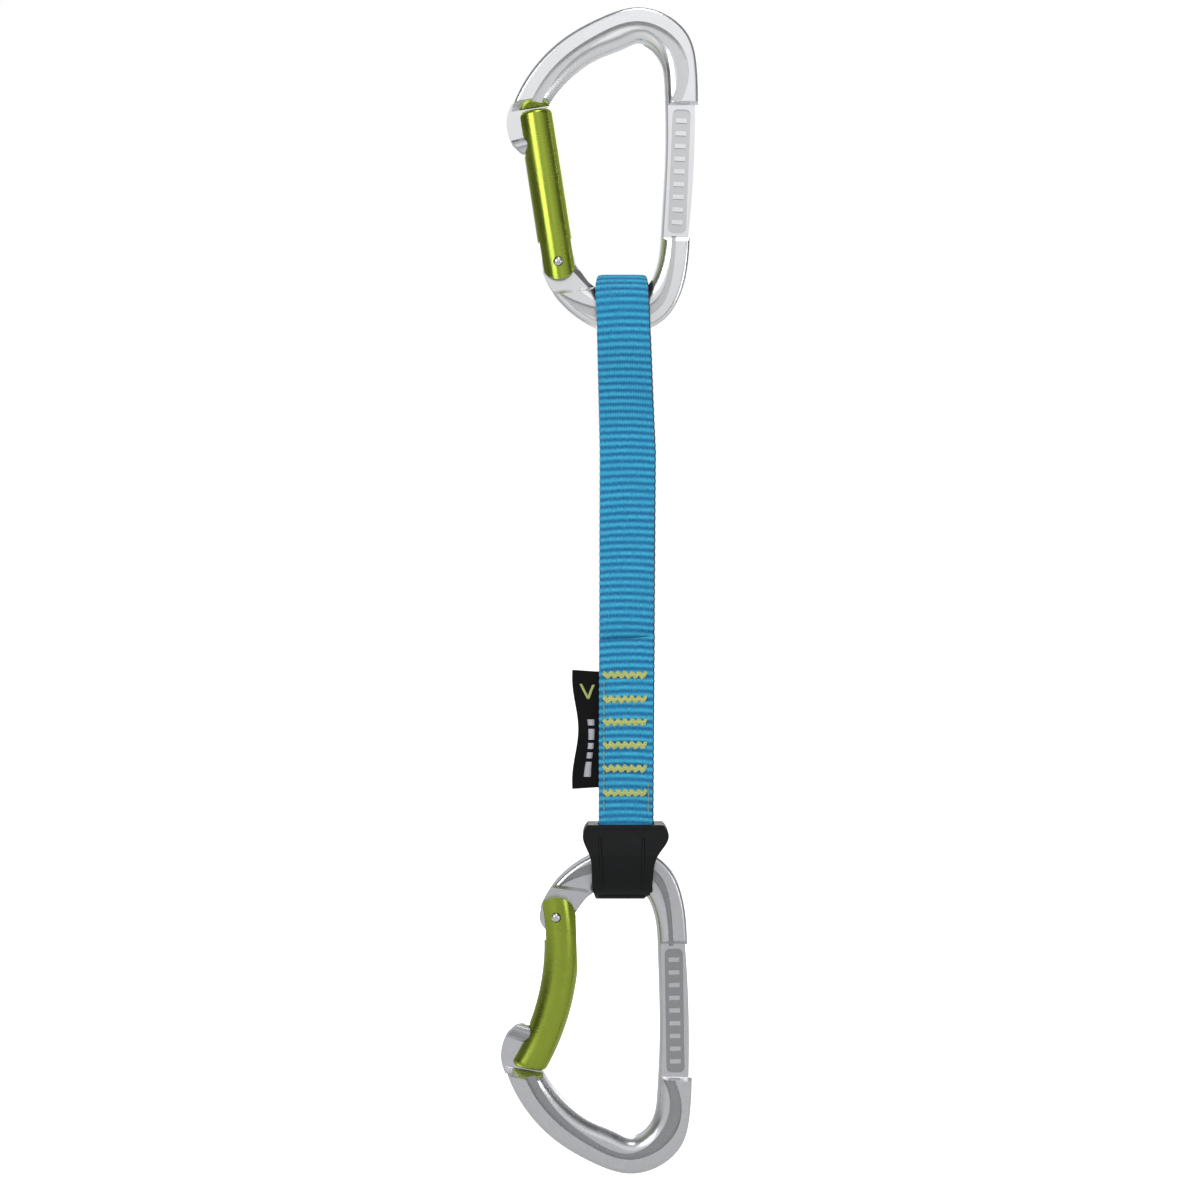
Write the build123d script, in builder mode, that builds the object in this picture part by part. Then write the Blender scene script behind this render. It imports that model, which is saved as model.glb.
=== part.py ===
import os
from math import atan2, cos, degrees, radians, sin

from build123d import *

# A climbing quickdraw hanging from a bolt: a straight-gate carabiner above, a sewn sling,
# and a bent-gate carabiner below, held in the sling by a rubber keeper.
# +Z runs up the quickdraw and +X from the gates towards the spines. Millimetres.
# The origin is the inner apex of the upper carabiner, where it hangs on a bolt hanger.

# Carabiner forging, in its own frame: s towards the spine, t up to the rope-bearing apex.
BAR_HALF = 5.2  # half of the bar's thickness
CLEAR_HALF = 1.1 * BAR_HALF  # the slopes that come out at the bar's faces are drawn up to here
WEB_HALF = 2.5  # half of the web between the two grooves
PANEL_HALF = 3.7  # half of the thickness across the label panels
TANG_HALF = 2.1
NECK_HALF = 2.0  # half of the thin neck that carries the nose lobe
INNER_ROUND = 3.9  # rope-bearing edges
OUTER_ROUND = 1.3
PIVOT = (-24.45, -65.7)  # where the rivet goes through the tang
GATE_TILT = 8.8  # degrees, from the t axis to the straight gate
SHOULDER = (-20.0, -73.6)  # where the thin tang rises to the bow's full thickness
SHOULDER_TURN = 6.2  # degrees, of the shoulder's line from s
SHOULDER_SLOPE = 1.6
TANG_RIM = (-16.7, -69.8)  # the tang's sloped edge, on the side of the eye
TANG_RIM_TURN = -46.5
TANG_RIM_WEDGE = ((0.8, 0.3), (2.4, -1.9), (2.4, 1.0))
TANG_EYE_SIDE = 4.4  # how far the flat under the plunger goes on towards the eye
TANG_OUTLINE = ((-1.2, 5.0), (-9.0, 9.0), (-9.0, -2.0))  # along the gate, and off to its side
FACE_OUT = 46.8  # from the pivot to the nose face, along the straight gate
FACE_SLOPE = 2.8  # length of the shoulder that rises from the neck to the flange
LOBE = (-34.0, -30.3)  # centre of the nose lobe
LOBE_RADIUS = 3.0
LOBE_BULGE = ((49.0, -6.6), (44.0, -8.9), (37.5, -8.2))  # along the gate, and off to its side
LOBE_END = ((34.6, -6.0), (33.4, -3.6), (34.2, 0.2))
LOBE_EYE_SIDE = ((38.0, 0.6), (49.0, -0.6))
BOW_OUTSIDE = ((-38.7, -20.9), (-33.2, -9.6), (-24, 0.2), (-12, 7.2), (0, 10.35), (9, 7.5))
BOW_OUTSIDE += ((15, 1.2), (17.1, -8), (16.9, -30), (15.1, -56), (13.2, -72.3), (6.9, -83.4))
BOW_OUTSIDE += ((-5.4, -86.9), (-18, -82.2), (-26.5, -73.8), (-29.3, -68))
BOW_INSIDE = ((-19.6, -66.7), (-14, -72.6), (-6.5, -75.9), (0.2, -74.6), (4.4, -68.5))
BOW_INSIDE += ((6.3, -56), (7.5, -31.8), (7.2, -12.3), (5.2, -3.6), (0, 0), (-4.5, -1.6))
BOW_INSIDE += ((-12, -4.6), (-21, -10.9), (-27.3, -19.1))
GROOVE_CROWN = ((-32.4, -17.6), (-27, -9), (-12, 2.4), (0, 5.9), (7, 3.6), (12.3, -18))
GROOVE_RIB = ((8.8, -18), (7.0, -0.6), (0, 4.0), (-12, 0.2), (-24, -9.6), (-29.5, -18.2))
GROOVE_HEEL = ((10.8, -58), (9.9, -68.3), (5.6, -79.9), (-5.4, -83.5), (-24, -74.8))
GROOVE_ARCH = ((-24, -74.8), (-6, -80.2), (4.2, -77.6), (8.6, -67), (9.4, -58))
PANEL_TOP = -18.9
PANEL_BOTTOM = -58.6
PANEL_EDGE = ((16.4, PANEL_TOP), (15.9, -39), (14.3, PANEL_BOTTOM))
PANEL_SLOPE = 1.4
POCKET_CENTRE = (11.7, -38.7)
POCKET_SIZE = (5.4, 37.0)
POCKET_ROUND = 1.6
POCKET_LEAN = -2.4  # degrees
POCKET_DEPTH = 0.6
MARKS = 9  # plain raised bars in the pocket
MARK_SIZE = (3.2, 1.3)
MARK_PITCH = 3.8
LOWER_APEX = (-2.4, -327.9)  # where the rope runs, x and z
LOWER_LEAN = 1.5  # degrees that the lower carabiner leans

# Gates
GATE_RADIUS = 5.2
ROD_START = -10.0  # the straight gate's bar before its ends are shaped, from the pivot
ROD_LENGTH = 70.0
TIP_GAP = 0.6  # between a gate's tip and the nose face
TIP_ROUND = 1.5
RIVET_RADIUS = 1.5
RIVET_PLAY = 0.05
RIVET_HALF = {"top": 5.8, "bottom": 5.7}  # its peened ends stand proud of the gate
RIVET_ROUND = 1.2
SLOT_PLAY = 0.25
LOBE_PLAY = 0.6
KEYHOLE_DEPTH = 6.8  # past the lobe's centre
TANG_TOP = 5.0  # from the pivot to the flat that the plunger rides on
SLOT_TOP = 7.0  # from the pivot to the end of the slot for the tang
PLUNGER_RADIUS = 1.85
BORE_RADIUS = 2.0
PLUNGER_PLAY = 0.07  # between the plunger's nose and the tang
PLUNGER_LENGTH = 6.8
BORE_END = 22.0
SPRING_WIRE = 0.5
SPRING_TURNS = 6
SPRING_RADIUS = 1.4
SPRING_PLAY = 0.05  # at each end of the spring
FOOT_RADIUS = {"top": 5.2, "bottom": 5.9}  # of the gate's rounded foot, about the pivot
BORE_TILT = {"top": GATE_TILT, "bottom": -3.0}
BEND_CENTRE = (-93.4, -55.4)  # the lower gate's axis is an arc about this point
BEND_RADIUS = 70.8
BEND_FROM = -17  # degrees
BEND_TO = 36

# Sling
LAYER = 2.0  # thickness of the webbing
GAP = 0.15  # between layers
TAG = 0.5  # thickness of the woven tag
SLING_X = -4.2
UPPER_LOOP_Z = -80.0
UPPER_LOOP = 9.9  # centreline radius
LOWER_LOOP_Z = -246.0
LOWER_LOOP = 7.7
SLING_OUTLINE = ((-13.9, -66), (-13.0, -86), (-12.2, -122), (-12.5, -236), (-11.2, -246))
SLING_OUTLINE += ((-11.0, -264), (2.2, -264), (2.4, -246), (4.1, -236), (4.9, -122))
SLING_OUTLINE += ((3.1, -86), (2.3, -66))
UPPER_SPREAD_Z = -112.0  # where the layers part for the upper loop
UPPER_BEND_Z = -90.0
LOWER_SPREAD_Z = -229.5
LOWER_BEND_Z = -242.5
BACK_Y = LAYER + GAP
FRONT_Y = -(LAYER + TAG + GAP)
FRONT_END_Z = -177.6
INNER_END_Z = -230.5
BARTACK_Z = (-189.2, -196.5, -203.3, -210.2, -217.2, -224.5)
BARTACK_SIZE = (12.0, 1.5)
BARTACK_TEETH = 7
THREAD = 0.5
SEAM_X = (-10.9, 2.4)
SEAM_TOP = -194.0
SEAM_LATE = -221.5  # where the seam on the spine side starts
SEAM_END = -228.6
SEAM_PITCH = 2.6
SEAM_STITCH = 1.7
TAG_TOP = -188.0
TAG_BOTTOM = -223.2
TAG_EDGE = -20.6
TAG_INNER = -8.5

# Rubber keeper
KEEPER_TOP = -233.8
KEEPER_WALL = 1.8
KEEPER_PLAY = 0.1
KEEPER_SLACK = 0.1  # more play where the layers of webbing spread
KEEPER_MOUTH = 7.0  # half of the depth at the top
KEEPER_LEFT = ((-15.6, -233.8), (-17.1, -237.6), (-15.1, -242.6), (-14.4, -250), (-12.8, -257.2))
KEEPER_RIGHT = ((6.9, -233.8), (8.4, -237.6), (5.0, -243), (3.7, -250), (2.0, -257.2))
# What the lower carabiner's bar sweeps through the keeper and the loop, in the bar's own frame.
WINDOW_ROUND = 4.8
WINDOW_OVER = ((15.6, -58), (14, -73), (7.4, -84.2), (-5.4, -87.6), (-18.4, -83), (-30, -72))
WINDOW_UNDER = ((5.2, -58), (3.6, -68.2), (-0.4, -73.9), (-6.5, -75.2), (-13.6, -71.8), (-19, -66))
BAR_HALF_PLAY = 6.6  # half of the window that lets the lower bar tilt


def carabiner_frame(apex, flipped, lean):
    """The carabiner's plane: its x is s and its y is t. A flipped one has its apex below."""
    turn = radians(lean)
    z_dir = (0, 1, 0) if flipped else (0, -1, 0)
    return Plane(origin=(apex[0], 0, apex[1]), x_dir=(cos(turn), 0, -sin(turn)), z_dir=z_dir)


def polar(point, distance, angle):
    """The point at a distance from point, at an angle in degrees from s."""
    return (point[0] + distance * cos(radians(angle)), point[1] + distance * sin(radians(angle)))


def out(distance, side=0.0, tilt=GATE_TILT):
    """The point at a distance from the pivot along a gate, and off to its spine side."""
    return polar(polar(PIVOT, distance, 90 + tilt), side, tilt)


def across(frame, point, angle):
    """A plane through point whose normal lies in the carabiner's plane, at an angle from s.
    Its x runs through the thickness and its y is 90 degrees on from the normal."""
    normal = frame.from_local_coords(Vector(*polar((0, 0), 1, angle), 0)) - frame.origin
    origin = frame.from_local_coords(Vector(*point, 0))
    return Plane(origin=origin, x_dir=-frame.z_dir, z_dir=normal)


LOBE_TURN = degrees(atan2(LOBE[1] - PIVOT[1], LOBE[0] - PIVOT[0])) - 90


def bow_outline(frame):
    """The front view of the forged bow, from the nose face round to the tang."""
    with BuildSketch(frame) as outline:
        with BuildLine():
            outside = Spline(*BOW_OUTSIDE)
            inside = Spline(*BOW_INSIDE)
            Line(outside @ 1, inside @ 0)
            Line(inside @ 1, outside @ 0)
        make_face()
    return outline.sketch


def face_rims(builder):
    """The curved edges of a bow's front and back faces, the inner ones first."""
    sides = builder.faces().filter_by(Plane.XZ)
    return sides.edges().filter_by(GeomType.BSPLINE).sort_by(SortBy.LENGTH)


def nose_tongue(frame):
    """The thin neck below the nose face, with the round lobe that the gate's keyhole holds."""
    with BuildPart() as tongue:
        with BuildSketch(frame):
            with BuildLine():
                bulge = Spline(*(out(*point) for point in LOBE_BULGE))
                end = Polyline(bulge @ 1, *(out(*point) for point in LOBE_END))
                Polyline(end @ 1, *(out(*point) for point in LOBE_EYE_SIDE), bulge @ 0)
            make_face()
        extrude(amount=BAR_HALF, both=True)
        with BuildSketch(across(frame, LOBE, LOBE_TURN)):
            Circle(LOBE_RADIUS)
            with Locations((0, 12)):
                Rectangle(2 * NECK_HALF, 24)
        extrude(amount=12, both=True, mode=Mode.INTERSECT)
    return tongue.part


def hinge_tang(frame, tilt):
    """The thin ear that the gate straddles. The plunger rides on its flat top."""
    with BuildPart() as tang:
        with BuildSketch(frame):
            with Locations(PIVOT):
                Circle(TANG_TOP)
            with BuildLine():
                Polyline(
                    out(TANG_TOP, 0, tilt),
                    out(TANG_TOP, TANG_EYE_SIDE, tilt),
                    *(out(*point) for point in TANG_OUTLINE),
                    out(0, -TANG_TOP),
                    close=True,
                )
            make_face()
        extrude(amount=TANG_HALF, both=True)
    return tang.part


def carabiner_body(frame, label):
    """The forged C of the carabiner: nose with its lobe, I-beam bow, spine and hinge tang."""
    bow_face = bow_outline(frame)
    tongue = nose_tongue(frame)
    tang = hinge_tang(frame, BORE_TILT[label])
    with BuildPart() as body:
        extrude(bow_face, amount=BAR_HALF, both=True)
        fillet(face_rims(body)[:2], INNER_ROUND)
        fillet(face_rims(body)[-2:], OUTER_ROUND)
        for side in (1, -1):
            with BuildSketch(frame.offset(side * WEB_HALF)):
                with BuildLine():
                    crown = Spline(*GROOVE_CROWN)
                    rib = Spline(*GROOVE_RIB)
                    Line(crown @ 1, rib @ 0)
                    Line(rib @ 1, crown @ 0)
                make_face()
                with BuildLine():
                    heel = Spline(*GROOVE_HEEL)
                    arch = Spline(*GROOVE_ARCH)
                    Line(arch @ 1, heel @ 0)
                make_face()
            extrude(amount=side * BAR_HALF, mode=Mode.SUBTRACT)
        with BuildSketch(across(frame, (4, 0), 0)):
            for side in (1, -1):
                with BuildLine():
                    Polyline(
                        (side * CLEAR_HALF, PANEL_TOP + PANEL_SLOPE),
                        (side * PANEL_HALF, PANEL_TOP),
                        (side * PANEL_HALF, PANEL_BOTTOM),
                        (side * CLEAR_HALF, PANEL_BOTTOM - PANEL_SLOPE),
                        close=True,
                    )
                make_face()
        extrude(amount=16, mode=Mode.SUBTRACT)
        with BuildSketch(frame):
            with BuildLine():
                edge = ThreePointArc(*PANEL_EDGE)
                Polyline(edge @ 1, (20, PANEL_BOTTOM - 0.5), (20, PANEL_TOP + 0.5), edge @ 0)
            make_face()
        extrude(amount=BAR_HALF, both=True, mode=Mode.SUBTRACT)
        with BuildSketch(across(frame, out(FACE_OUT), GATE_TILT)):
            for side in (1, -1):
                with BuildLine():
                    Polyline(
                        (side * NECK_HALF, -4),
                        (side * NECK_HALF, 0),
                        (side * CLEAR_HALF, FACE_SLOPE),
                        (side * CLEAR_HALF, -4),
                        close=True,
                    )
                make_face()
        extrude(amount=9, both=True, mode=Mode.SUBTRACT)
        with BuildSketch(across(frame, SHOULDER, SHOULDER_TURN)):
            for side in (1, -1):
                with BuildLine():
                    Polyline(
                        (side * TANG_HALF, 0),
                        (side * CLEAR_HALF, -SHOULDER_SLOPE),
                        (side * CLEAR_HALF, 12),
                        (side * TANG_HALF, 12),
                        close=True,
                    )
                make_face()
        extrude(amount=11, both=True, mode=Mode.SUBTRACT)
        add(tongue)
        add(tang)
        with BuildSketch(across(frame, TANG_RIM, TANG_RIM_TURN)):
            for side in (1, -1):
                with BuildLine():
                    Polyline(*((side * x, y) for x, y in TANG_RIM_WEDGE), close=True)
                make_face()
        extrude(amount=4.3, both=True, mode=Mode.SUBTRACT)
        with BuildSketch(frame):
            with Locations(PIVOT):
                Circle(RIVET_RADIUS + RIVET_PLAY)
        extrude(amount=BAR_HALF, both=True, mode=Mode.SUBTRACT)
        for side in (1, -1):
            with BuildSketch(frame.offset(side * (PANEL_HALF - POCKET_DEPTH))):
                with Locations(Location((*POCKET_CENTRE, 0), (0, 0, POCKET_LEAN))):
                    RectangleRounded(*POCKET_SIZE, POCKET_ROUND)
                    with GridLocations(0, MARK_PITCH, 1, MARKS):
                        Rectangle(*MARK_SIZE, mode=Mode.SUBTRACT)
            extrude(amount=side * 4, mode=Mode.SUBTRACT)
    finish(body.part, f"{label}_body")


def gate_slots(frame, name):
    """What is cut from a gate: the keyhole for the lobe, the slot for the tang, the plunger's
    bore and the rivet's hole."""
    tilt = BORE_TILT[name]
    with BuildPart() as slots:
        with BuildSketch(across(frame, polar(LOBE, KEYHOLE_DEPTH, LOBE_TURN), LOBE_TURN)):
            Circle(LOBE_RADIUS + LOBE_PLAY)
            with Locations((0, 12)):
                Rectangle(2 * (NECK_HALF + SLOT_PLAY), 24)
        extrude(amount=-16)
        with BuildSketch(across(frame, PIVOT, tilt)):
            with Locations((0, SLOT_TOP - 8)):
                Rectangle(2 * (TANG_HALF + SLOT_PLAY), 16)
        extrude(amount=10, both=True)
        with BuildSketch(across(frame, out(TANG_TOP, 0, tilt), 90 + tilt)):
            Circle(BORE_RADIUS)
        extrude(amount=BORE_END - TANG_TOP)
        with BuildSketch(frame):
            with Locations(PIVOT):
                Circle(RIVET_RADIUS)
        extrude(amount=8, both=True)
    return slots.part


def gate(frame, name):
    """A gate's round rod. The upper one is straight and the lower one bends into its bow."""
    tip = across(frame, out(FACE_OUT - TIP_GAP), 90 + GATE_TILT)
    slots = gate_slots(frame, name)
    foot_radius = FOOT_RADIUS[name]
    with BuildPart() as rod:
        if name == "top":
            with BuildSketch(across(frame, out(ROD_START), 90 + GATE_TILT)):
                Circle(GATE_RADIUS)
            extrude(amount=ROD_LENGTH)
        else:
            with BuildLine(frame) as axis:
                CenterArc(BEND_CENTRE, BEND_RADIUS, BEND_FROM, BEND_TO - BEND_FROM)
            with BuildSketch(Plane(origin=axis.line @ 0, z_dir=axis.line % 0)):
                Circle(GATE_RADIUS)
            sweep(path=axis.line)
        with BuildSketch(frame):
            with BuildLine():
                Polyline(
                    out(0, -foot_radius),
                    out(FACE_OUT - TIP_GAP, -16),
                    out(FACE_OUT - TIP_GAP, 16),
                    out(0, foot_radius),
                    close=True,
                )
            make_face()
            with Locations(PIVOT):
                Circle(foot_radius)
        extrude(amount=GATE_RADIUS + 1, both=True, mode=Mode.INTERSECT)
        fillet(rod.faces().sort_by(Axis(tip.origin, tip.z_dir))[-1].edges(), TIP_ROUND)
        add(slots, mode=Mode.SUBTRACT)
    finish(rod.part, f"{name}_gate")


def gate_works(frame, name):
    """The rivet that the gate turns on, and the plunger and coil spring that shut it."""
    tilt = BORE_TILT[name]
    with BuildPart() as rivet:
        with BuildSketch(frame):
            with Locations(PIVOT):
                Circle(RIVET_RADIUS)
        extrude(amount=RIVET_HALF[name], both=True)
        fillet(rivet.edges().filter_by(GeomType.CIRCLE), RIVET_ROUND)
    finish(rivet.part, f"{name}_rivet")
    plunger_foot = TANG_TOP + PLUNGER_PLAY
    with BuildPart() as plunger:
        with BuildSketch(across(frame, out(plunger_foot, 0, tilt), 90 + tilt)):
            Circle(PLUNGER_RADIUS)
        extrude(amount=PLUNGER_LENGTH)
        ends = plunger.edges().filter_by(GeomType.CIRCLE)
        away = across(frame, PIVOT, 90 + tilt)
        fillet(ends.sort_by(Axis(away.origin, away.z_dir))[0], PLUNGER_RADIUS * 0.97)
    finish(plunger.part, f"{name}_plunger")
    seat = plunger_foot + PLUNGER_LENGTH + SPRING_WIRE / 2 + SPRING_PLAY
    height = BORE_END - SPRING_WIRE / 2 - SPRING_PLAY - seat
    base = across(frame, out(seat, 0, tilt), 90 + tilt)
    with BuildPart() as spring:
        with BuildLine() as coil:
            Helix(height / SPRING_TURNS, height, SPRING_RADIUS, base.origin, base.z_dir)
        with BuildSketch(Plane(origin=coil.line @ 0, z_dir=coil.line % 0)):
            Circle(SPRING_WIRE / 2)
        sweep(path=coil.line, is_frenet=True)
    finish(spring.part, f"{name}_spring")


def finish(part, label):
    part.label = label
    export_step(part, f"parts/{label}.step")


def sling_loop_outline(margin):
    """The side view of the space inside the keeper: the lower loop's outside and all in it."""
    reach = LOWER_LOOP + LAYER / 2 + margin
    spread = LAYER / 2 + KEEPER_SLACK + margin
    with BuildSketch(Plane.YZ) as loop:
        with Locations((0, LOWER_LOOP_Z)):
            Circle(reach)
        with BuildLine():
            Polyline(
                (reach, LOWER_LOOP_Z),
                (reach, LOWER_BEND_Z),
                (BACK_Y + spread, LOWER_SPREAD_Z),
                (FRONT_Y - spread, LOWER_SPREAD_Z),
                (-reach, LOWER_BEND_Z),
                (-reach, LOWER_LOOP_Z),
                close=True,
            )
        make_face()
    return loop.sketch


def webbing(bar_window):
    """One strip: cut end in front, down round the lower bar, up the back, over the upper bar
    and down inside to its other end."""
    with BuildPart() as strip:
        with BuildSketch(Plane.YZ):
            with BuildLine():
                FilletPolyline(
                    (FRONT_Y, FRONT_END_Z),
                    (FRONT_Y, LOWER_SPREAD_Z),
                    (-LOWER_LOOP, LOWER_BEND_Z),
                    (-LOWER_LOOP, LOWER_LOOP_Z),
                    radius=[8, 6],
                )
                CenterArc((0, LOWER_LOOP_Z), LOWER_LOOP, 180, 180)
                FilletPolyline(
                    (LOWER_LOOP, LOWER_LOOP_Z),
                    (LOWER_LOOP, LOWER_BEND_Z),
                    (BACK_Y, LOWER_SPREAD_Z),
                    (BACK_Y, UPPER_SPREAD_Z),
                    (UPPER_LOOP, UPPER_BEND_Z),
                    (UPPER_LOOP, UPPER_LOOP_Z),
                    radius=[6, 8, 30, 18],
                )
                CenterArc((0, UPPER_LOOP_Z), UPPER_LOOP, 0, 180)
                FilletPolyline(
                    (-UPPER_LOOP, UPPER_LOOP_Z),
                    (-UPPER_LOOP, UPPER_BEND_Z),
                    (0, UPPER_SPREAD_Z),
                    (0, INNER_END_Z),
                    radius=[18, 30],
                )
            trace(line_width=LAYER)
        extrude(amount=30, both=True)
        with BuildSketch(Plane.XZ):
            with BuildLine():
                Polyline(*SLING_OUTLINE, close=True)
            make_face()
        extrude(amount=20, both=True, mode=Mode.INTERSECT)
        add(bar_window, mode=Mode.SUBTRACT)
    finish(strip.part, "webbing")


def stitches():
    """Six zigzag bar tacks and two rows of running stitch, on both faces of the sling."""
    front = Plane.XZ.offset(LAYER / 2 - FRONT_Y)
    back = Plane.XZ.offset(-LAYER / 2 - BACK_Y)
    width, height = BARTACK_SIZE
    step = width / (2 * BARTACK_TEETH)
    for number, z in enumerate(BARTACK_Z, 1):
        zigzag = [
            (SLING_X - width / 2 + step * i, z + height * (0.5 - i % 2))
            for i in range(2 * BARTACK_TEETH + 1)
        ]
        with BuildPart() as bartack:
            for face, way in ((front, 1), (back, -1)):
                with BuildSketch(face):
                    with BuildLine():
                        Polyline(*zigzag)
                    trace(line_width=THREAD)
                extrude(amount=way * THREAD)
        finish(bartack.part, f"bartack_{number}")
    for name, x, top in (("left", SEAM_X[0], SEAM_TOP), ("right", SEAM_X[1], SEAM_LATE)):
        count = int((top - SEAM_END) / SEAM_PITCH)
        with BuildPart() as seam:
            for face, way in ((front, 1), (back, -1)):
                with BuildSketch(face):
                    with Locations((x, (top + SEAM_END) / 2)):
                        with GridLocations(0, SEAM_PITCH, 1, count):
                            Rectangle(THREAD, SEAM_STITCH)
                extrude(amount=way * THREAD * 0.7)
        finish(seam.part, f"seam_{name}")


def tag():
    """The woven tag, sewn in between the front layer and the one behind it."""
    with BuildPart() as woven:
        with BuildSketch(Plane.XZ.offset(LAYER / 2 + GAP / 2)):
            with Locations(((TAG_EDGE + TAG_INNER) / 2, (TAG_TOP + TAG_BOTTOM) / 2)):
                Rectangle(TAG_INNER - TAG_EDGE, TAG_TOP - TAG_BOTTOM)
        extrude(amount=TAG)
    finish(woven.part, "woven_tag")


def keeper(bar_window):
    """The moulded rubber sleeve that holds the lower loop tight round its bar."""
    reach = LOWER_LOOP + LAYER / 2 + KEEPER_WALL
    with BuildPart() as cavity:
        extrude(sling_loop_outline(KEEPER_PLAY), amount=30, both=True)
        with BuildSketch(Plane.XZ):
            with BuildLine():
                Polyline(*SLING_OUTLINE, close=True)
            make_face()
            offset(amount=KEEPER_PLAY)
        extrude(amount=20, both=True, mode=Mode.INTERSECT)
    with BuildPart() as sleeve:
        with BuildSketch(Plane.XZ):
            with BuildLine():
                left = Spline(*KEEPER_LEFT)
                right = Spline(*KEEPER_RIGHT)
                Line(left @ 1, right @ 1)
                Line(left @ 0, right @ 0)
            make_face()
        extrude(amount=20, both=True)
        with BuildSketch(Plane.YZ):
            with Locations((0, LOWER_LOOP_Z)):
                Circle(reach)
            with BuildLine():
                Polyline(
                    (reach, LOWER_LOOP_Z),
                    (reach, LOWER_BEND_Z),
                    (KEEPER_MOUTH, KEEPER_TOP),
                    (-KEEPER_MOUTH, KEEPER_TOP),
                    (-reach, LOWER_BEND_Z),
                    (-reach, LOWER_LOOP_Z),
                    close=True,
                )
            make_face()
        extrude(amount=30, both=True, mode=Mode.INTERSECT)
        add(cavity.part, mode=Mode.SUBTRACT)
        add(bar_window, mode=Mode.SUBTRACT)
    finish(sleeve.part, "keeper")


os.makedirs("parts", exist_ok=True)
top_frame = carabiner_frame((0, 0), False, 0)
bottom_frame = carabiner_frame(LOWER_APEX, True, LOWER_LEAN)
for frame, name in ((top_frame, "top"), (bottom_frame, "bottom")):
    carabiner_body(frame, name)
    gate(frame, name)
    gate_works(frame, name)
with BuildPart() as window:
    with BuildSketch(bottom_frame):
        with BuildLine():
            over = Spline(*WINDOW_OVER)
            under = Spline(*WINDOW_UNDER)
            Line(over @ 1, under @ 1)
            Line(over @ 0, under @ 0)
        make_face()
    extrude(amount=BAR_HALF_PLAY, both=True)
    fillet(face_rims(window)[:2], WINDOW_ROUND)
webbing(window.part)
stitches()
tag()
keeper(window.part)
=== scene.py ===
"""A climbing quickdraw: two carabiners on a sewn sling, with a rubber keeper on the lower one.

+Z runs up the quickdraw, +X from the gates to the spines, and the camera looks along +Y.
Lengths in the shape code are millimetres and are turned into metres when a mesh is made.
"""

import math

import bpy
import numpy as np
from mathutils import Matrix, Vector


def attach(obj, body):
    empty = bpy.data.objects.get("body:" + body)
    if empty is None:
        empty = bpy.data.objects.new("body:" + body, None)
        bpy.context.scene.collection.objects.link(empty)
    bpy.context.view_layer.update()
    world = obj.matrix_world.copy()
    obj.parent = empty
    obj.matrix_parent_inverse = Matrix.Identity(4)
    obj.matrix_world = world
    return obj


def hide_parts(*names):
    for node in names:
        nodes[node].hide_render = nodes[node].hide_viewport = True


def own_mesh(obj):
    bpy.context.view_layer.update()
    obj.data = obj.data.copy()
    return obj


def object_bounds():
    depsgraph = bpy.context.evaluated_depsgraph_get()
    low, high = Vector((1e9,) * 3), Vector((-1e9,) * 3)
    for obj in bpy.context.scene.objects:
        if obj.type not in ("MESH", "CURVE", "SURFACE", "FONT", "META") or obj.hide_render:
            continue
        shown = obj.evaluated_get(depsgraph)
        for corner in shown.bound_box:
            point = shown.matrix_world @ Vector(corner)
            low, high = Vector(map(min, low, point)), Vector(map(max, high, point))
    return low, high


MM = 0.001
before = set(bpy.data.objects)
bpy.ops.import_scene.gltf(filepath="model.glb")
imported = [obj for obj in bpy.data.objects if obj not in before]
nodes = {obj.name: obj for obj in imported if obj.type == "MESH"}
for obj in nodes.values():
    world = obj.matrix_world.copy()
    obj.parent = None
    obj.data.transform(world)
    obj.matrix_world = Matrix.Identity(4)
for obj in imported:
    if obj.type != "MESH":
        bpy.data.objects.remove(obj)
cad_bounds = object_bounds()


# ---------------------------------------------------------------- shader nodes


def add(tree, kind, inputs=None, **settings):
    """A shader node with its settings, and with its inputs set or linked."""
    made = tree.nodes.new("ShaderNode" + kind)
    for key, value in settings.items():
        setattr(made, key, value)
    for key, value in (inputs or {}).items():
        if isinstance(value, bpy.types.NodeSocket):
            tree.links.new(value, made.inputs[key])
        else:
            made.inputs[key].default_value = value
    return made


def mix(tree, factor, first, second):
    """The colour between two colours; 6 and 7 are the node's colour sockets, 2 its colour output."""
    return add(tree, "Mix", {0: factor, 6: first, 7: second}, data_type="RGBA").outputs[2]


def math_node(tree, operation, first, second=0.0):
    """The result of one sum, product or function of one or two values."""
    return add(tree, "Math", {0: first, 1: second}, operation=operation).outputs[0]


def noise(tree, vector, scale, detail=3.0, rough=0.6):
    """Noise with scale features in a metre, or in a unit of vector."""
    inputs = {"Vector": vector, "Scale": scale, "Detail": detail, "Roughness": rough}
    return add(tree, "TexNoise", inputs).outputs["Fac"]


def spread(tree, value, low, high, out_low, out_high):
    """value's range from low to high, stretched to the range from out_low to out_high."""
    inputs = {0: value, 1: low, 2: high, 3: out_low, 4: out_high}
    return add(tree, "MapRange", inputs).outputs[0]


def attribute(tree, name):
    """A value that the mesh carries at each of its points."""
    return add(tree, "Attribute", attribute_name=name).outputs["Fac"]


def bump(tree, height, distance, strength=1.0, normal=None):
    """The normal of a surface that rises by distance, in metres, where height is 1."""
    inputs = {"Height": height, "Distance": distance, "Strength": strength}
    if normal is not None:
        inputs["Normal"] = normal
    return add(tree, "Bump", inputs).outputs["Normal"]


def new_material(name):
    """A material with its node tree, its surface shader and the object's own coordinates."""
    material = bpy.data.materials.new(name)
    material.use_nodes = True
    tree = material.node_tree
    shader = tree.nodes["Principled BSDF"]
    place = add(tree, "TexCoord").outputs["Object"]
    return material, tree, shader, place


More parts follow.
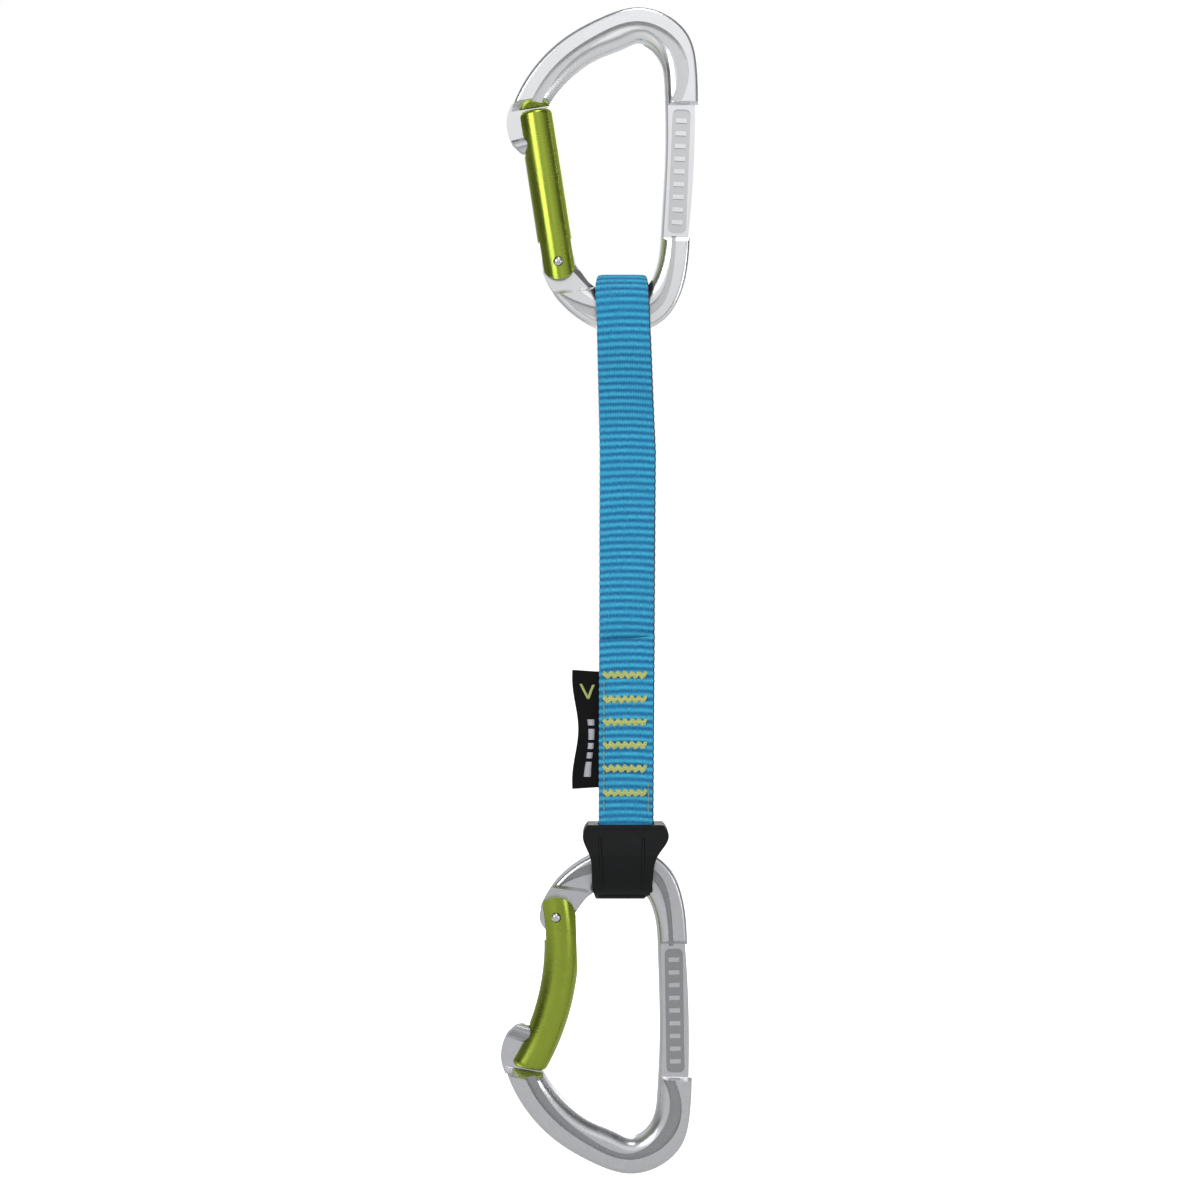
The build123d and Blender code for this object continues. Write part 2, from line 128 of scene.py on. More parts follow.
def connect(tree, shader, **sockets):
    """Sets or links the shader's inputs, whose names have _ for a space."""
    for key, value in sockets.items():
        name = key.replace("_", " ")
        if isinstance(value, bpy.types.NodeSocket):
            tree.links.new(value, shader.inputs[name])
        else:
            shader.inputs[name].default_value = value


# Distances from the middle plane, in metres. The floors of the grooves and label pockets lie
# between them: each pair is where the painted shade starts and where it is whole.
FLOOR_OUTER = (3.5 * MM, 3.2 * MM)
FLOOR_INNER = (2.2 * MM, 2.35 * MM)


def painted_recess_shade(tree, place):
    """1 on the floors of a forging's grooves and label pockets, where shade is painted into the
    colour.
    """
    depth = math_node(tree, "ABSOLUTE", add(tree, "SeparateXYZ", {0: place}).outputs["Y"])
    normal = add(tree, "TexCoord").outputs["Normal"]
    facing = math_node(tree, "ABSOLUTE", add(tree, "SeparateXYZ", {0: normal}).outputs["Y"])
    sunk = spread(tree, depth, *FLOOR_OUTER, 0, 1)
    above_tang = spread(tree, depth, *FLOOR_INNER, 0, 1)
    flat = spread(tree, facing, 0.75, 0.92, 0, 1)
    return math_node(tree, "MULTIPLY", math_node(tree, "MULTIPLY", sunk, above_tang), flat)


WHITE = (0.93, 0.94, 0.95, 1)
SHADOW = (0.02, 0.02, 0.022, 1)


def metal(name, colour, worn, roughness, grain=0.00001, scratches=0.3, recess_shade=0.0):
    """Metal with a fine tumbled grain, faint handling scratches and patches of more or less shine.

    grain is the depth of the tumbled grain in metres, scratches is how strong the scratches are,
    and the last argument is how much painted shade darkens the floors of the grooves and pockets.
    """
    material, tree, shader, place = new_material(name)
    fine = noise(tree, place, 4200, 2)
    patches = noise(tree, place, 90, 4)
    aslant = {"Vector": place, "Rotation": (0.3, 0.9, 0.2), "Scale": (1, 1, 9)}
    stretched = add(tree, "Mapping", aslant)
    lines = spread(tree, noise(tree, stretched.outputs[0], 520, 2), 0.60, 0.72, 0, 1)
    scuffs = math_node(tree, "MULTIPLY", lines, scratches)
    rough = spread(tree, patches, 0.3, 0.7, roughness * 0.8, roughness * 1.25)
    rough = math_node(tree, "ADD", rough, math_node(tree, "MULTIPLY", scuffs, 0.25))
    grained = bump(tree, fine, grain)
    tone = mix(tree, scuffs, colour, worn)
    # Painted shade: the floors of the grooves and label pockets are darkened towards SHADOW.
    if recess_shade:
        sunk = math_node(tree, "MULTIPLY", painted_recess_shade(tree, place), recess_shade)
        tone = mix(tree, sunk, tone, SHADOW)
    connect(
        tree,
        shader,
        Base_Color=tone,
        Metallic=1.0,
        Roughness=rough,
        Normal=bump(tree, lines, 0.00001, 0.4, grained),
    )
    return material


def rubber(name, clean, dusty):
    """Moulded rubber: a soft sheen, a fine moulding texture and a little dust."""
    material, tree, shader, place = new_material(name)
    patches = noise(tree, place, 160, 4)
    dust = spread(tree, patches, 0.5, 0.8, 0, 0.5)
    connect(
        tree,
        shader,
        Base_Color=mix(tree, dust, clean, dusty),
        Roughness=spread(tree, patches, 0.3, 0.7, 0.42, 0.56),
        Specular_IOR_Level=0.2,
        Normal=bump(tree, noise(tree, place, 3600, 3), 0.00004, 0.5),
    )
    return material


YARN_PITCH = 0.52
WARP_PITCH, WEFT_PITCH = 0.3, 0.36


def waves(tree, distance, pitch):
    """A sine wave over distance; both are in millimetres."""
    return math_node(tree, "SINE", math_node(tree, "MULTIPLY", distance, 2 * math.pi / pitch))


def woven(name, valley_shade, crest_highlight, shade):
    """Ribbed polyamide webbing, whose colour is a painted shade in the rib valleys and a painted
    highlight on the rib crests.

    The mesh carries rib, the height of the rib, and across and along in millimetres.
    """
    material, tree, shader, place = new_material(name)
    rib, across, along = (attribute(tree, key) for key in ("rib", "across", "along"))
    fine_across = math_node(tree, "MULTIPLY", across, 2.4)
    long_along = math_node(tree, "MULTIPLY", along, 0.9)
    streak_place = add(tree, "CombineXYZ", {0: fine_across, 1: long_along}).outputs[0]
    streaks = noise(tree, streak_place, 1.0, 3, 0.7)
    yarn = waves(tree, across, YARN_PITCH)
    fuzz = noise(tree, place, 2600, 4, 0.7)
    patches = noise(tree, place, 130, 3)
    # Painted light: the colour follows each rib, with painted shade in its hollows and a painted
    # highlight on its tops.
    lit = math_node(tree, "ADD", rib, spread(tree, streaks, 0.3, 0.7, -0.42, 0.34))
    lit = math_node(tree, "ADD", lit, math_node(tree, "MULTIPLY", yarn, 0.08))
    lit = math_node(tree, "ADD", lit, spread(tree, fuzz, 0.3, 0.7, -0.2, 0.2))
    colour = mix(tree, spread(tree, lit, 0.0, 1.15, 0, 1), valley_shade, crest_highlight)
    colour = mix(tree, spread(tree, patches, 0.4, 0.75, 0, 0.35), colour, shade)
    height = math_node(tree, "ADD", math_node(tree, "MULTIPLY", yarn, 0.3), streaks)
    height = math_node(tree, "ADD", height, fuzz)
    connect(
        tree,
        shader,
        Base_Color=colour,
        Roughness=0.62,
        Sheen_Weight=0.25,
        Sheen_Roughness=0.4,
        Normal=bump(tree, height, 0.00016, 0.9),
    )
    return material


def thread(name, dark, light):
    """Sewing thread of twisted strands; twist is the strands' phase in radians."""
    material, tree, shader, place = new_material(name)
    strands = math_node(tree, "SINE", attribute(tree, "twist"))
    fuzz = noise(tree, place, 5200, 3)
    furry = math_node(tree, "MULTIPLY", fuzz, 0.3)
    tone = math_node(tree, "ADD", spread(tree, strands, -1, 1, 0.1, 0.8), furry)
    connect(
        tree,
        shader,
        Base_Color=mix(tree, tone, dark, light),
        Roughness=0.55,
        Sheen_Weight=0.2,
        Normal=bump(tree, strands, 0.00006, 0.8),
    )
    return material


def fine_weave(name, dark, light):
    """The cloth of a woven label: a fine satin weave of crossing threads."""
    material, tree, shader, place = new_material(name)
    warp = waves(tree, attribute(tree, "across"), WARP_PITCH)
    weft = waves(tree, attribute(tree, "along"), WEFT_PITCH)
    weave = math_node(tree, "MULTIPLY", warp, weft)
    fuzz = noise(tree, place, 2400, 3)
    tone = math_node(tree, "MULTIPLY", spread(tree, weave, -1, 1, 0.3, 1), fuzz)
    connect(
        tree,
        shader,
        Base_Color=mix(tree, tone, dark, light),
        Roughness=0.75,
        Specular_IOR_Level=0.15,
        Sheen_Weight=0.02,
        Normal=bump(tree, weave, 0.00005, 0.6),
    )
    return material


polished = metal(
    "polished_aluminium",
    (0.90, 0.90, 0.91, 1),
    WHITE,
    0.2,
    grain=0.000004,
    scratches=0.12,
    recess_shade=0.24,
)
satin = metal(
    "satin_aluminium",
    (0.66, 0.66, 0.68, 1),
    (0.80, 0.80, 0.82, 1),
    0.27,
    scratches=0.12,
    recess_shade=0.42,
)
anodised = metal(
    "anodised_green", (0.34, 0.43, 0.055, 1), (0.60, 0.68, 0.22, 1), 0.26, scratches=0.12
)
steel = metal("steel", (0.68, 0.67, 0.65, 1), WHITE, 0.22)
spring_steel = metal("spring_steel", (0.5, 0.49, 0.47, 1), WHITE, 0.3)
keeper_rubber = rubber("keeper_rubber", (0.005, 0.0055, 0.006, 1), (0.014, 0.015, 0.017, 1))
blue = woven(
    "blue_webbing", (0.0, 0.16, 0.42, 1), (0.06, 0.62, 0.90, 1), (0.004, 0.30, 0.58, 1)
)
black = woven(
    "black_webbing", (0.002, 0.003, 0.006, 1), (0.012, 0.016, 0.024, 1), (0.005, 0.007, 0.01, 1)
)
green_thread = thread("green_thread", (0.24, 0.29, 0.045, 1), (0.80, 0.85, 0.30, 1))
seam_thread = thread("seam_thread", (0.13, 0.25, 0.11, 1), (0.48, 0.58, 0.26, 1))
white_thread = thread("white_thread", (0.5, 0.5, 0.56, 1), (0.9, 0.9, 0.98, 1))
label_black = fine_weave("label_black", (0.0015, 0.0018, 0.0015, 1), (0.010, 0.011, 0.010, 1))

FINISHES = {
    "top_body": polished,
    "bottom_body": satin,
    "top_gate": anodised,
    "bottom_gate": anodised,
    "top_rivet": steel,
    "bottom_rivet": steel,
    "top_plunger": steel,
    "bottom_plunger": steel,
    "top_spring": spring_steel,
    "bottom_spring": spring_steel,
    "keeper": keeper_rubber,
}
for name, material in FINISHES.items():
    mesh = nodes[name].data
    mesh.materials.clear()
    mesh.materials.append(material)


# ---------------------------------------------------------------- mesh making


def make_object(name, points, faces, materials, face_materials=None, **attributes):
    """A smooth-shaded mesh from points in millimetres, with one value a point in each attribute."""
    mesh = bpy.data.meshes.new(name)
    mesh.from_pydata([tuple(p) for p in np.asarray(points) * MM], [], faces)
    for material in materials:
        mesh.materials.append(material)
    if face_materials is not None:
        mesh.polygons.foreach_set("material_index", face_materials)
    mesh.polygons.foreach_set("use_smooth", [True] * len(mesh.polygons))
    for key, values in attributes.items():
        mesh.attributes.new(key, "FLOAT", "POINT").data.foreach_set("value", np.ravel(values))
    mesh.update()
    made = bpy.data.objects.new(name, mesh)
    bpy.context.scene.collection.objects.link(made)
    return made


def skin(rows, ring):
    """Quads between the rows of a lofted tube, and a cap of quads across each end."""
    faces = []
    for row in range(rows - 1):
        for k in range(ring):
            a, b = row * ring + k, row * ring + (k + 1) % ring
            faces.append((a, b, b + ring, a + ring))
    last = (rows - 1) * ring
    for k in range(ring // 2 - 1):
        far = ring - 1 - k
        faces.append((k, far, far - 1, k + 1))
        faces.append((last + k, last + k + 1, last + far - 1, last + far))
    return faces


BEND_POINTS = 12
LOOP_POINTS = 31


def rounded(corners):
    """A polyline through (y, z, radius) corners, each turned into an arc of its radius."""
    line = [np.array(corners[0][:2], float)]
    for before, (y, z, radius), after in zip(corners, corners[1:], corners[2:]):
        corner = np.array((y, z), float)
        back = np.array(before[:2], float) - corner
        on = np.array(after[:2], float) - corner
        back, on = back / np.linalg.norm(back), on / np.linalg.norm(on)
        half = math.acos(np.clip(back @ on, -1, 1)) / 2
        if radius == 0 or half > math.pi / 2 - 0.01:
            line.append(corner)
            continue
        reach = radius / math.tan(half)
        centre = corner + (back + on) / np.linalg.norm(back + on) * radius / math.sin(half)
        start, end = corner + back * reach - centre, corner + on * reach - centre
        for t in np.linspace(0, 1, BEND_POINTS):
            spoke = start * (1 - t) + end * t
            line.append(centre + spoke / np.linalg.norm(spoke) * radius)
    line.append(np.array(corners[-1][:2], float))
    return np.array(line)


def arc(centre_z, radius, first, last):
    """The corners of a loop's arc in the (y, z) plane, with its angles in degrees."""
    turns = np.radians(np.linspace(first, last, LOOP_POINTS))
    return [(radius * math.cos(a), centre_z + radius * math.sin(a), 0) for a in turns]


# ---------------------------------------------------------------- the sling

FRONT_Y, BACK_Y = -2.65, 2.15  # the middles of the outer layers; the third lies at y = 0
HALF_LAYER = 1.0
CUT_END_Z, INNER_END_Z = -177.6, -230.5
UPPER_LOOP_Z, UPPER_LOOP_RADIUS = -80, 9.9
UPPER_BEND_Z, UPPER_SPREAD_Z = -90, -112
LOWER_LOOP_Z, LOWER_LOOP_RADIUS = -246, 7.7
LOWER_BEND_Z, LOWER_SPREAD_Z = -242.5, -229.5
# The strip's middle line as (y, z, radius) corners, from its cut front end to its inner end.
STRIP_CORNERS = [
    (FRONT_Y, CUT_END_Z, 0),
    (FRONT_Y, LOWER_SPREAD_Z, 8),
    (-LOWER_LOOP_RADIUS, LOWER_BEND_Z, 6),
    *arc(LOWER_LOOP_Z, LOWER_LOOP_RADIUS, 180, 360),
    (LOWER_LOOP_RADIUS, LOWER_BEND_Z, 6),
    (BACK_Y, LOWER_SPREAD_Z, 8),
    (BACK_Y, UPPER_SPREAD_Z, 30),
    (UPPER_LOOP_RADIUS, UPPER_BEND_Z, 18),
    *arc(UPPER_LOOP_Z, UPPER_LOOP_RADIUS, 0, 180),
    (-UPPER_LOOP_RADIUS, UPPER_BEND_Z, 18),
    (0, UPPER_SPREAD_Z, 30),
    (0, INNER_END_Z, 0),
]
# The strip's left and right edges at a few heights.
EDGE_Z = (-264, -246, -236, -122, -86, -66)
LEFT_X = (-11.0, -11.2, -12.5, -12.2, -13.0, -13.9)
RIGHT_X = (2.2, 2.4, 4.1, 4.9, 3.1, 2.3)
HALF_WIDTH = 8.5
RIB_PITCH, RIB_DEPTH = 2.2, 0.42
RIB_BOW = 0.45  # how far a rib's ends trail behind its middle
STEP = 0.22
WIDTH_STEPS = 22
BLACK_COLUMNS = 3
CUT_DROOP, DROOP_RUN = 1.5, 22.0
CROWN_Z, CROWN_RISE = -75.0, 6.0


def strip_row(s, corners, run, u, side):
    """One cross-section of the strip, at s along it: its points, their ribs and their places along.

    u runs from -1 at the left edge to 1 at the right, and side is 1 on the outer face.
    """
    total = run[-1]

    def middle(distance):
        return np.column_stack([np.interp(distance, run, corners[:, k]) for k in (0, 1)])

    # The cut front end hangs a little lower at its left than at its right.
    droop = CUT_DROOP * math.exp(-((s / DROOP_RUN) ** 2))
    here = np.clip(s + droop * (0.5 - 0.5 * u), 0, total)
    heading = middle(np.minimum(here + 0.4, total)) - middle(np.maximum(here - 0.4, 0))
    heading /= np.linalg.norm(heading, axis=1, keepdims=True)
    outward = np.column_stack([heading[:, 1], -heading[:, 0]])
    phase = here - RIB_BOW * u**2 + 0.14 * np.sin(s / 9.0) * u + 0.1 * np.sin(s / 5.3)
    rib = 0.5 + 0.5 * np.cos(2 * math.pi * phase / RIB_PITCH)
    # The strip thins at its two cut ends and rounds off at its edges.
    tuck = 1 - 0.55 * math.exp(-min(s, total - s) / 0.5)
    roundness = np.sqrt(np.clip(1 - np.abs(u) ** 14, 0, 1)) * tuck
    height = (HALF_LAYER - RIB_DEPTH * (1 - rib)) * np.maximum(roundness, 0.05)
    z = middle(here)[:, 1]
    # Over the bar of the upper carabiner the strip bunches up and gets narrower.
    crown = np.clip((z - CROWN_Z) / CROWN_RISE, 0, 1) ** 2
    left = np.interp(z, EDGE_Z, LEFT_X) + 1.3 * crown
    right = np.interp(z, EDGE_Z, RIGHT_X) - 0.7 * crown
    inset = 0.12 * (1 - rib) + 0.05
    x = (left + right) / 2 + u * ((right - left) / 2 - inset)
    surface = middle(here) + outward * (height * side)[:, None]
    return np.column_stack([x, surface]), rib, here


def sling():
    """One strip of ribbed webbing, blue outside and black inside, sewn into two loops."""
    corners = rounded(STRIP_CORNERS)
    run = np.concatenate([[0], np.cumsum(np.linalg.norm(np.diff(corners, axis=0), axis=1))])
    total = run[-1]
    # The outer face runs left to right, then the inner face runs back.
    across = -np.cos(np.linspace(0, math.pi, WIDTH_STEPS))
    u = np.concatenate([across, across[::-1]])
    side = np.repeat((1.0, -1.0), WIDTH_STEPS)
    stations = np.linspace(0, total, int(total / STEP))
    rows = [strip_row(s, corners, run, u, side) for s in stations]
    points, ribs, alongs = (np.concatenate(values) for values in zip(*rows))
    ring = 2 * WIDTH_STEPS
    faces = skin(len(rows), ring)
    # Only the outer face is blue, and its last columns at the right edge are black too.
    row_kind = [0 if k < WIDTH_STEPS - BLACK_COLUMNS else 1 for k in range(ring)]
    face_kind = row_kind * (len(rows) - 1)
    face_kind += [1] * (len(faces) - len(face_kind))
    strip = make_object(
        "webbing_strip",
        points,
        faces,
        [blue, black],
        face_kind,
        rib=ribs,
        across=np.tile(u * HALF_WIDTH, len(rows)),
        along=alongs,
    )
    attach(strip, "sling")
    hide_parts("webbing")


# ---------------------------------------------------------------- threads


class Threads:
    """Stitches and round bars, gathered into one mesh."""

    SIDES = 10
    RINGS = 12
    TWIST_PITCH = 0.55

    def __init__(self):
        self.points, self.faces, self.twist = [], [], []

    def stitch(self, start, end, radius, lift):
        """One stitch: a spindle from start to end that rises by lift in its middle."""
        start, end, lift = (np.array(v, float) for v in (start, end, lift))
        run = end - start
        length = np.linalg.norm(run)
        along = run / length
        up = lift / np.linalg.norm(lift)
        side = np.cross(along, up)
        first = len(self.points)
        for i in range(self.RINGS):
            t = i / (self.RINGS - 1)
            swell = math.sin(math.pi * (0.08 + 0.84 * t)) ** 0.45
            centre = start + run * t + lift * (math.sin(math.pi * t) ** 0.8)
            for k in range(self.SIDES):
                a = 2 * math.pi * k / self.SIDES
                spoke = math.cos(a) * side + 0.8 * math.sin(a) * up
                self.points.append(centre + radius * swell * spoke)
                self.twist.append(2 * a + 2 * math.pi * t * length / self.TWIST_PITCH)
        self.close(first, self.RINGS)

    def bar(self, path, radius):
        """One round bar along an open path, which narrows over three points at each end."""
        first, rows = len(self.points), len(path)
        for i, here in enumerate(path):
            ahead = path[min(i + 1, rows - 1)] - path[max(i - 1, 0)]
            ahead = ahead / np.linalg.norm(ahead)
            guide = (0.0, 1.0, 0.0) if abs(ahead[1]) < 0.9 else (1.0, 0.0, 0.0)
            side = np.cross(ahead, guide)
            side = side / np.linalg.norm(side)
            up = np.cross(side, ahead)
            end = min(i, rows - 1 - i) / 3
            size = radius * math.sqrt(1 - (1 - min(end, 0.98)) ** 2) if end < 1 else radius
            for k in range(self.SIDES):
                a = 2 * math.pi * k / self.SIDES
                self.points.append(here + size * (math.cos(a) * side + math.sin(a) * up))
                self.twist.append(0.0)
        self.close(first, rows)

    def close(self, first, rows):
        """Skins the rings of points from first on."""
        self.faces += [tuple(first + v for v in face) for face in skin(rows, self.SIDES)]

    def build(self, name, material, body):
        made = make_object(name, self.points, self.faces, [material], twist=self.twist)
        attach(made, body)
        return made


FRONT_FACE = FRONT_Y - HALF_LAYER
BACK_FACE = BACK_Y + HALF_LAYER
SEWN_FACES = ((FRONT_FACE, -1), (BACK_FACE, 1))  # each with its way out
BARTACK_Z = (-189.2, -196.5, -203.3, -210.2, -217.2, -224.5)
BARTACK_LEFT, BARTACK_RIGHT = -10.9, 1.6
BARTACK_TEETH = 12
# Each pass of a bar tack: its shift to the right, half of its height and its thread's radius.
BARTACK_PASSES = ((0.0, 1.2, 0.36), (0.45, 0.95, 0.33), (-0.36, 0.6, 0.3))
SEAMS = (("seam_left", -10.9, -191.0), ("seam_right", 2.4, -221.5))  # name, x and top
SEAM_PITCH, SEAM_STITCH = 1.5, 1.15


def bartacks():
    """Six dense zigzag bar tacks, each sewn over three times, on the front and the back."""
    wander = np.random.default_rng(7)
    turns = BARTACK_TEETH + 1
    for number, z in enumerate(BARTACK_Z, 1):
        threads = Threads()
        for face, out in SEWN_FACES:
            for shift, half, radius in BARTACK_PASSES:
                edge = np.linspace(BARTACK_LEFT, BARTACK_RIGHT, turns) + shift
                edge = edge + wander.uniform(-0.08, 0.08, turns)
                heights = z + half * (-1.0) ** np.arange(turns) + wander.uniform(-0.12, 0.12, turns)
                ends = [(x, face - out * 0.05, high) for x, high in zip(edge, heights)]
                for start, end in zip(ends, ends[1:]):
                    threads.stitch(start, end, radius, (0, out * 0.28, 0))
        made = threads.build(f"bartack_thread_{number}", green_thread, "sling")
        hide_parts(f"bartack_{number}")


def seams():
    """Rows of fine running stitch along both edges of the overlap."""
    for name, x, top in SEAMS:
        threads = Threads()
        for face, out in SEWN_FACES:
            for z in np.arange(top, LOWER_SPREAD_Z, -SEAM_PITCH):
                end = (x + 0.08, face, z - SEAM_STITCH)
                threads.stitch((x, face, z), end, 0.19, (0, out * 0.16, 0))
        made = threads.build(f"{name}_thread", seam_thread, "sling")
        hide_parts(name)


# ---------------------------------------------------------------- the springs


def coil(side):
    """The hidden return spring of a gate, copied with a mesh of its own and carried by the gate.

    In the quickdraw its plunger pushes it shorter as the gate opens; this function doesn't shorten
    it.
    """
    spring = bpy.data.objects.new(f"{side}_coil", nodes[f"{side}_spring"].data.copy())
    bpy.context.scene.collection.objects.link(spring)
    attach(spring, f"{side}_gate")
    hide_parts(f"{side}_spring")
    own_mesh(spring)


# ---------------------------------------------------------------- the label

TAG_Y = -1.325
TAG_TOP, TAG_BOTTOM = -188.2, -223.0
TAG_INNER, TAG_OUTER = -8.6, -20.3
TAG_HELD_X = -13.2  # right of this the webbing holds the label flat
TAG_COLUMNS, TAG_ROWS = 26, 72
HALF_CLOTH = 0.19
# Places on the label go from 0 to 1: u outward from the seam, and v down.
MARK_U = 0.62
CHEVRON_TOP, CHEVRON_HEIGHT, CHEVRON_SPREAD = 0.12, 0.12, 0.16
BARS = ((0.42, 0.05), (0.50, 0.09), (0.62, 0.05), (0.70, 0.05), (0.78, 0.12))  # top and height
BAR_PITCH = 0.0085


def tag_surface(u, v):
    """A point on the middle of the label, which waves more the further it is from the webbing."""
    edge = TAG_OUTER + 1.5 * math.sin(math.pi * v) ** 2 - 0.25 * math.sin(3 * math.pi * v)
    x = TAG_INNER + u * (edge - TAG_INNER)
    loose = max(0.0, (TAG_HELD_X - x) / 7.0)
    y = TAG_Y + 1.1 * loose * math.sin(2 * math.pi * v + 0.6) - 0.5 * loose
    z = TAG_TOP + v * (TAG_BOTTOM - TAG_TOP) + 0.5 * loose * math.sin(1.3 + 3 * v)
    return np.array((x, y, z))


def woven_mark(name, material, places, half_length):
    """A mark of short threads, which lie across the label's front at places."""
    threads = Threads()
    reach = np.array((half_length, 0, 0))
    for place in places:
        front = place + np.array((0, -0.2, 0))
        threads.stitch(front - reach, front + reach, 0.13, (0, -0.05, 0))
    return threads.build(name, material, "sling")


def label():
    """A woven label with a chevron and bars, held in the seam and wavy where it is loose."""
    points, across, along = [], [], []
    steps = np.linspace(0, 1, TAG_COLUMNS)
    ring = [(u, -1) for u in steps] + [(u, 1) for u in steps[::-1]]
    for v in np.linspace(0, 1, TAG_ROWS):
        for u, out in ring:
            thin = HALF_CLOTH * (1 - 0.5 * u**8)
            points.append(tag_surface(u, v) + np.array((0, out * thin, 0)))
            across.append(u * 12)
            along.append(v * 35)
    faces = skin(TAG_ROWS, len(ring))
    cloth = make_object("label_cloth", points, faces, [label_black], across=across, along=along)
    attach(cloth, "sling")
    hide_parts("woven_tag")
    chevron_places = [
        tag_surface(MARK_U + side * CHEVRON_SPREAD * (1 - t), CHEVRON_TOP + CHEVRON_HEIGHT * t)
        for side in (-1, 1)
        for t in np.linspace(0, 1, 20)
    ]
    chevron = woven_mark("label_chevron", green_thread, chevron_places, 0.45)
    bar_places = [
        tag_surface(MARK_U, v)
        for top, height in BARS
        for v in np.arange(top, top + height, BAR_PITCH)
    ]
    dashes = woven_mark("label_bars", white_thread, bar_places, 1.15)


# ---------------------------------------------------------------- the keeper

KEEPER_TOP = -233.8
KEEPER_MOUTH_Y = 7.0
KEEPER_WALL = 1.8
KEEPER_REACH = LOWER_LOOP_RADIUS + HALF_LAYER + KEEPER_WALL
RIDGES = ((-12.1, -11.2), (1.0, 0.4))  # x at the top and at the bottom
RIDGE_TOP, RIDGE_LOW = -237.2, -254.6
LIP_Y, LIP_Z = 6.75, -234.75
ROLL_Z = -255.2


def keeper_face(z):
    """How far the keeper's front and back stand out from the middle at height z."""
    if z > LOWER_BEND_Z:
        t = (KEEPER_TOP - z) / (KEEPER_TOP - LOWER_BEND_Z)
        return KEEPER_MOUTH_Y + t * (KEEPER_REACH - KEEPER_MOUTH_Y)
    if z > LOWER_LOOP_Z:
        return KEEPER_REACH
    return math.sqrt(max(KEEPER_REACH**2 - (LOWER_LOOP_Z - z) ** 2, 0.0))


def keeper_details():
    """The rolled lip, the two moulding ridges and the lower roll on both faces of the keeper."""
    detail = Threads()
    for out in (-1, 1):
        for top_x, low_x in RIDGES:
            ridge = []
            for z in np.linspace(RIDGE_TOP, RIDGE_LOW, 40):
                t = (z - RIDGE_TOP) / (RIDGE_LOW - RIDGE_TOP)
                y = out * (keeper_face(z) - 0.12)
                ridge.append(np.array((top_x + t * (low_x - top_x), y, z)))
            detail.bar(ridge, 0.5)
        lip = [np.array((x, out * LIP_Y, LIP_Z)) for x in np.linspace(-16.0, 7.3, 40)]
        detail.bar(lip, 0.85)
        roll_y = out * (keeper_face(ROLL_Z) - 0.15)
        roll = [np.array((x, roll_y, ROLL_Z)) for x in np.linspace(-12.9, 1.9, 30)]
        detail.bar(roll, 0.6)
    detail.build("keeper_ridges", keeper_rubber, "sling")


coil("top")
coil("bottom")
sling()
keeper_details()
bartacks()
seams()
label()


# ---------------------------------------------------------------- studio

FLOOR_REACH = 9000
FLOOR_GAP = 0.012
AIM = Vector((-0.008, 0, -0.168))  # what the lamps point at, in metres
# Each soft box's place from AIM and its side, in metres, and its power in watts.
SOFT_BOXES = {
    "key": ((-0.55, -0.75, 0.35), 0.45, 2.6),
    "fill": ((0.75, -0.6, 0.05), 0.3, 0.9),
    "top": ((0.05, -0.35, 0.8), 0.3, 1.3),
    "rim": ((0.2, 0.8, 0.25), 0.6, 2.0),
}
# The surroundings' greys, as (place, shade) from the camera's side to the far side, and upward.
RING_SHADES = ((0.08, 0.80), (0.22, 0.24), (0.42, 0.08), (0.60, 0.30))
RISE_SHADES = ((0.18, 0.90), (0.36, 0.52), (0.52, 0.50), (0.66, 0.72), (0.80, 1.0))


def ramp(tree, value, first, last, shades):
    """A grey for a value from 0 to 1, which goes from first to last by way of shades."""
    made = add(tree, "ValToRGB", {0: value})
    elements = made.color_ramp.elements
    elements[0].color = (first, first, first, 1)
    elements[1].color = (last, last, last, 1)
    for place, shade in shades:
        elements.new(place).color = (shade, shade, shade, 1)
    return made.outputs["Color"]


def pale_floor():
    """White paper, which the camera sees as bright as the surroundings."""
    material, tree, shader, place = new_material("pale_floor")
    tone = spread(tree, noise(tree, place, 3, 2), 0.3, 0.7, 0.86, 0.9)
    colour = add(tree, "CombineColor", {0: tone, 1: tone, 2: tone}).outputs[0]
    seen = add(tree, "LightPath").outputs["Is Camera Ray"]
    glow = math_node(tree, "MULTIPLY", seen, 0.9)
    connect(tree, shader, Base_Color=colour, Roughness=0.9)
    connect(tree, shader, Emission_Color=(1, 1, 1, 1), Emission_Strength=glow)
    return material


def stage_floor():
    """A wide floor, a little way under the quickdraw."""
    corners = [(x * FLOOR_REACH, y * FLOOR_REACH, 0) for x, y in ((-1, -1), (1, -1), (1, 1), (-1, 1))]
    floor = make_object("floor", corners, [(0, 1, 2, 3)], [pale_floor()])
    floor.location.z = cad_bounds[0][2] - FLOOR_GAP


